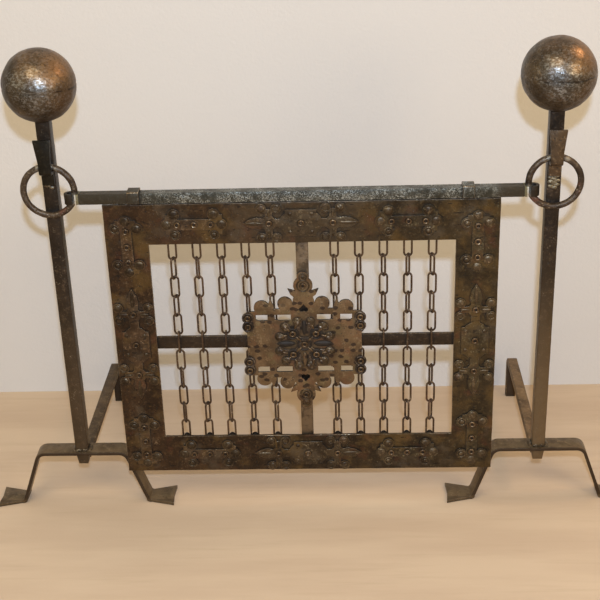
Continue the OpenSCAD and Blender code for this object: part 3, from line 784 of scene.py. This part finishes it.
# Frame of the screen: one flat ring of iron, its corners forge welded, its faces hammered.
def make_frame():
    bottom_low, bottom_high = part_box("bottom_rail")
    top_low, top_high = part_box("top_rail")
    left, low = bottom_low.x, bottom_low.z
    right, high = top_high.x, top_high.z
    front, back = top_low.y, top_high.y
    inner_left, inner_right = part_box("left_stile")[1].x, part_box("right_stile")[0].x
    inner_low, inner_high = bottom_high.z, top_low.z

    def in_opening(v, slack=0):
        beside = inner_left - slack < v.x < inner_right + slack
        return beside and inner_low - slack < v.z < inner_high + slack

    def cut(places, axis):
        for place in places:
            bpy.ops.mesh.select_all(action="SELECT")
            bpy.ops.mesh.bisect(plane_co=[place * v for v in axis], plane_no=axis)

    bpy.ops.mesh.primitive_cube_add(
        size=1, location=((left + right) / 2, (front + back) / 2, (low + high) / 2),
        scale=(right - left, back - front, high - low))
    piece = bpy.context.object
    settle(piece)
    pick_faces(piece, lambda c, n: True)
    cut((inner_left, inner_right), (1, 0, 0))
    cut((inner_low, inner_high), (0, 0, 1))
    pick_faces(piece, lambda c, n: abs(n.y) > 0.9 and in_opening(c))
    bpy.ops.mesh.delete(type="ONLY_FACE")
    pick_edges(piece, lambda a, b: in_opening(a, 0.0001) and in_opening(b, 0.0001))
    bpy.ops.mesh.bridge_edge_loops()
    bpy.ops.object.mode_set(mode="OBJECT")
    give_irons(piece, frame_iron, worn_edge)
    round_edges(piece, 0.0009)
    pick_faces(piece, lambda c, n: True)
    columns, rows = 90, 70
    cut([left + (right - left) * (i + 0.5) / columns for i in range(columns)], (1, 0, 0))
    cut([low + (high - low) * (i + 0.5) / rows for i in range(rows)], (0, 0, 1))
    bpy.ops.object.mode_set(mode="OBJECT")
    hammer(piece, "frame_marks", 0.022, 0.0007)
    smooth(piece, 50)
    label(piece, "forged_frame", "frame_iron", SCREEN,
          "top_rail", "bottom_rail", "left_stile", "right_stile")


# Raised work of the ornaments. A place on one is given along and across it, from its middle.
def on_plate(node, along, across):
    """Turns places along and across an ornament into x, front y and z."""
    low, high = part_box(node)
    middle = (low + high) / 2
    if high.x - low.x > high.z - low.z:
        return middle.x + along, low.y, middle.z + across
    return middle.x + across, low.y, middle.z + along


def side_work(node):
    """Domed and curled lobes at both ends of a side ornament."""
    low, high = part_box(node)
    end = max(high.x - low.x, high.z - low.z) / 2 - 0.009
    raised = []
    for s in (-1, 1):
        tip = on_plate(node, s * (end + 0.001), 0)
        big = on_plate(node, s * (end - 0.010), 0.0155)
        small = on_plate(node, s * (end - 0.010), -0.0155)
        raised.append(dome(*tip, 0.0068, 0.0068, 0.0021, lobe_iron))
        raised.append(dome(*big, 0.0070, 0.0066, 0.0024, lobe_iron))
        raised.append(dome(*small, 0.0038, 0.0038, 0.0017, lobe_iron))
        raised.append(curl(*small, 0.0058, 0.0013, lobe_iron))
    return raised


def centre_work(node):
    """Domes and curls in pairs, leaf ribs and small knobs on a centre ornament."""
    low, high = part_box(node)
    upright = high.z - low.z > high.x - low.x
    half = max(high.x - low.x, high.z - low.z) / 2
    arm = 0.55 * half
    rib = (0.0028, 0.0135) if upright else (0.0135, 0.0028)
    vein = (0.007, 0.002) if upright else (0.002, 0.007)
    raised = []
    for s in (-1, 1):
        for u in (-1, 1):
            for v in (-1, 1):
                spot = on_plate(node, s * arm + u * 0.0105, v * 0.022)
                if u * s > 0:
                    raised.append(dome(*spot, 0.0058, 0.0058, 0.0022, lobe_iron))
                else:
                    raised.append(curl(*spot, 0.0048, 0.0013, lobe_iron))
        leaf = on_plate(node, s * (arm + 0.56 * (half - arm)), 0)
        raised.append(dome(*leaf, *rib, 0.0016, lobe_iron))
        for v in (-1, 1):
            raised.append(dome(*on_plate(node, s * arm, v * 0.0155), *vein, 0.0014, lobe_iron))
            knob = on_plate(node, s * 0.0155, v * 0.0135)
            raised.append(dome(*knob, 0.0030, 0.0030, 0.0014, lobe_iron))
    return raised


def rosette_work():
    """Twelve leaf lobes, four dished discs and the veins and dark leaves between them."""
    low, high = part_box("rosette")
    middle = (low + high) / 2
    front = low.y
    bay = 0.017
    leaf_spots = ((0.028, 0.028), (0.0365, 0.012), (0.0095, 0.036))
    raised = [curl(middle.x, front, middle.z, 0.0096, 0.0014, dark_scale_and_shade)]

    def disc(s, v):
        spot = (middle.x + s * bay, front, middle.z + v * bay)
        raised.append(curl(*spot, 0.0078, 0.0015, dark_scale_and_shade))

    def leaf(s, v, along, across):
        lean = math.atan2(across - 0.012, along - 0.012) + dice.uniform(-0.4, 0.4)
        long = dice.uniform(0.0066, 0.0080)
        x = middle.x + s * (along + dice.uniform(-0.001, 0.001))
        z = middle.z + v * (across + dice.uniform(-0.001, 0.001))
        raised.append(dome(x, front, z, long, 0.0056, 0.0022, lobe_iron, turn=-s * v * lean))
        fold_x = x + s * dice.uniform(-0.004, 0.002)
        fold_z = z + v * dice.uniform(-0.004, 0.002)
        raised.append(dome(fold_x, front, fold_z, 0.0042, 0.0032, 0.0030, rosette_iron, turn=lean))
        raised.append(curl(x + s * 0.0012, front - 0.0010, z + v * 0.0012, 0.0034, 0.0009, lobe_iron))

    def vein(s, v, along, across):
        x = middle.x + s * (bay + (along - bay) * 0.62)
        z = middle.z + v * (bay + (across - bay) * 0.62)
        turn = -s * v * math.atan2(across - bay, along - bay)
        raised.append(dome(x, front, z, 0.0052, 0.0020, 0.0022, crest_iron, turn=turn))

    for s in (-1, 1):
        lifted = front + 0.0018
        tip_iron = dark_scale_and_shade if s > 0 else plaque_iron
        raised.append(dome(middle.x + s * 0.027, lifted, middle.z, 0.0135, 0.0046, 0.0028, dark_scale_and_shade))
        raised.append(dome(middle.x, lifted, middle.z + s * 0.026, 0.0036, 0.0115, 0.0026, tip_iron))
        for v in (-1, 1):
            disc(s, v)
            for along, across in leaf_spots:
                leaf(s, v, along, across)
                vein(s, v, along, across)
            stem = (middle.x + s * 0.0086, front, middle.z + v * 0.0086)
            raised.append(dome(*stem, 0.0062, 0.0019, 0.0024, crest_iron, turn=-s * v * math.pi / 4))
    return raised


def plaque_work():
    """A raised ring and boss at both tips of the plaque's crests, and a ring round each crest rivet."""
    low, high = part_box("plaque")
    middle = (low.x + high.x) / 2
    raised = []
    for tip, inward in ((high.z, -1), (low.z, 1)):
        boss = tip + inward * 0.0085
        raised.append(curl(middle, low.y, boss, 0.0052, 0.0010, trim_iron))
        raised.append(dome(middle, low.y, boss, 0.0030, 0.0030, 0.0012, trim_iron))
        raised.append(curl(middle, low.y, tip + inward * 0.0222, 0.0088, 0.0011, trim_iron))
    return raised


def floret_work():
    """A dished rim on each of the eight corner discs."""
    low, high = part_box("corner_florets")
    middle = (low + high) / 2
    drawn_width = 0.181
    scale = (high.x - low.x) / drawn_width
    raised = []
    for s in (-1, 1):
        for z in (-0.043, -0.029, 0.029, 0.043):
            spot = (middle.x + s * 0.082 * scale, low.y, middle.z + z * scale)
            raised.append(curl(*spot, 0.0070 * scale, 0.0013, rosette_iron))
    return raised


# Rivets: ring heads, a bright crest round a dark dimple.
RIVET_WIDE = 0.011
RIVET_HIGH = 0.0028

# Steps of a head, inwards and up or down, as shares of its radius and of its height.
RIVET_STEPS = (
    (0.08, 0.4), (0.12, 0.25), (0.13, 0.05), (0.14, -0.05), (0.13, -0.27), (0.08, -0.33), (0.12, 0.02))


def make_rivet():
    """One rivet head at the origin, its top towards the front."""
    radius = RIVET_WIDE / 2
    rim = RIVET_HIGH * 0.25
    bpy.ops.mesh.primitive_cylinder_add(
        vertices=24, radius=radius, depth=rim, location=(0, -rim / 2, 0), rotation=FACING_FRONT)
    piece = bpy.context.object
    settle(piece)
    pick_faces(piece, lambda c, n: n.y < -0.9)
    for inward, lift in RIVET_STEPS:
        bpy.ops.mesh.inset(thickness=radius * inward, depth=RIVET_HIGH * lift)
    bpy.ops.object.mode_set(mode="OBJECT")
    for material in (rivet_iron, crest_iron, strip_iron):
        piece.data.materials.append(material)
    for face in piece.data.polygons:
        reach = math.hypot(face.center.x, face.center.z) / radius
        if 0.44 < reach < 0.87 and face.normal.y < -0.3:
            face.material_index = 1
        elif reach <= 0.44:
            face.material_index = 2
    smooth(piece, 65)
    return piece


def make_rivets(rivet, name, node):
    """Copies of the rivet, one at each rivet of the node."""
    copies = []
    for low, high in solids_of(node):
        clear_selection()
        copy = rivet.copy()
        copy.data = rivet.data.copy()
        bpy.context.scene.collection.objects.link(copy)
        copy.rotation_euler = (0, dice.uniform(0, 6.28), 0)
        copy.scale = (dice.uniform(0.93, 1.0), 1, dice.uniform(0.93, 1.0))
        copy.location = ((low.x + high.x) / 2, high.y, (low.z + high.z) / 2)
        settle(copy)
        copies.append(copy)
    label(join(copies), name, "rivet_iron", SCREEN, node)


# The andirons with their rings, and the hooks of the screen.
for side in ("left", "right"):
    make_post(side)
    make_ball(side)
    make_ring(side)
    make_legs(side)
    forged(side + "_billet_bar", side + "_forged_billet_bar", "billet_iron", ANDIRONS, 0.0011)
    forged(side + "_ring_hook", side + "_forged_ring_hook", "hook_iron", ANDIRONS, 0.0008, rim=hook_iron)
    forged(side + "_screen_hook", side + "_forged_screen_hook", "bar_iron", SCREEN, 0.0007)
    weld_legs(side)
    weld_hook(side)

# The hanging bar and the screen.
forged("hanging_bar", "forged_hanging_bar", "bar_iron", "hanging_bar", 0.0009)
make_frame()
forged("mid_bar", "forged_mid_bar", "strip_iron", SCREEN, 0.0007)
forged("centre_strip", "forged_centre_strip", "strip_iron", SCREEN, 0.0007)
chased("plaque", "cut_plaque", "plaque_iron", 0.0006, plaque_work())
chased("rosette", "chased_rosette", "rosette_iron", 0.0009, rosette_work())
chased("corner_florets", "chased_corner_florets", "rosette_iron", 0.0008, floret_work())
for node in frame["nodes"]:
    if node.endswith("_ornament"):
        work = centre_work(node) if "centre" in node or "middle" in node else side_work(node)
        chased(node, "chased_" + node, "trim_iron", 0.0011, work)

rivet_pattern = make_rivet()
for place in ("top_rail", "bottom_rail", "left_stile", "right_stile", "plaque"):
    make_rivets(rivet_pattern, place + "_rivet_heads", place + "_rivets")
bpy.data.objects.remove(rivet_pattern)

# Parts whose CAD form stays take their iron here.
slot_of = {part["node"]: part["material_slot"] for part in frame["record"]["subparts"]}
for node, piece in frame["nodes"].items():
    if not piece.hide_render:
        piece.data.materials.clear()
        piece.data.materials.append(SLOT_IRON[slot_of[node]])


# Floor and wall. The wall can't be seen from behind.
FLOOR_SIZE = 8
WALL_SIZE = 6
WALL_DISTANCE = 0.2155
WALL_TURN = math.radians(0.1)


def pale_floor():
    f = Finish("pale_floor")
    boards = f.noise(0.5, 4, 0.6, stretch=(1, 6, 1))
    streaks = f.noise(0.05, 5, 0.6, stretch=(0.25, 3, 1))
    speck = f.noise(0.004, 3)
    colour = f.blend(f.ramp(boards, 0.35, 0.65), tone(188, 166, 141), tone(197, 176, 150))
    colour = f.blend(f.ramp(streaks, 0.5, 0.75) * 0.5, colour, tone(179, 157, 131))
    return f.close(f.surface(colour, 0.5 + 0.2 * speck, 0.0, speck * 0.3 + streaks * 0.5, 0.0004))


def pale_wall():
    f = Finish("pale_wall")
    cloud = f.noise(0.7, 3)
    skin = f.noise(0.006, 4, 0.6)
    colour = f.blend(cloud, tone(200, 196, 191), tone(206, 202, 197))
    front = f.surface(colour, 0.75 + 0.1 * skin, 0.0, skin, 0.0006)
    back = f.node("ShaderNodeBsdfTransparent")
    behind = f.node("ShaderNodeNewGeometry", out="Backfacing")
    return f.close(f.node("ShaderNodeMixShader", None, {0: behind, 1: front, 2: back}))


def make_stage(name, material, size, place, turn):
    clear_selection()
    bpy.ops.mesh.primitive_plane_add(size=size, location=place, rotation=turn)
    plane = bpy.context.object
    plane.name = name
    settle(plane)
    plane.data.materials.append(material)


make_stage("floor", pale_floor(), FLOOR_SIZE, (0, 0, 0), (0, 0, 0))
make_stage("wall", pale_wall(), WALL_SIZE, (0, WALL_DISTANCE, WALL_SIZE / 2), (math.pi / 2, 0, WALL_TURN))


# Light: a small cool lamp throws shadows on the wall, three broad ones and a warm one fill the room.
def lamp(name, place, aim, wide, high, power, colour):
    clear_selection()
    bpy.ops.object.light_add(type="AREA", location=place)
    light = bpy.context.object
    light.name = name
    light.data.shape = "RECTANGLE"
    light.data.size = wide
    light.data.size_y = high
    light.data.energy = power
    light.data.color = colour
    light.rotation_euler = (Vector(aim) - Vector(place)).to_track_quat("-Z", "Y").to_euler()


lamp("front_lamp", (0.09, -1.85, 1.31), (0, 0, 0.35), 0.04, 0.04, 30.5, (0.53, 0.71, 1))
lamp("upper_lamp", (-0.5, -1.6, 2.3), (0, 0, 0.3), 1.6, 1.0, 23.2, (1, 0.84, 0.57))
lamp("right_lamp", (1.7, -1.7, 1.4), (0, 0, 0.4), 0.9, 0.9, 18.5, (1, 0.79, 0.51))
lamp("left_lamp", (-1.9, -1.1, 1.1), (0, 0, 0.3), 0.9, 1.2, 5.5, (1, 0.84, 0.59))
lamp("warm_lamp", (1.5, 0.08, 1.85), (0, -0.1, 0.7), 0.3, 0.3, 6, (1, 0.62, 0.36))

world = bpy.context.scene.world or bpy.data.worlds.new("room")
bpy.context.scene.world = world
world.use_nodes = True
room = world.node_tree.nodes["Background"].inputs
room["Color"].default_value = (0.95, 0.78, 0.53, 1)
room["Strength"].default_value = 0.5
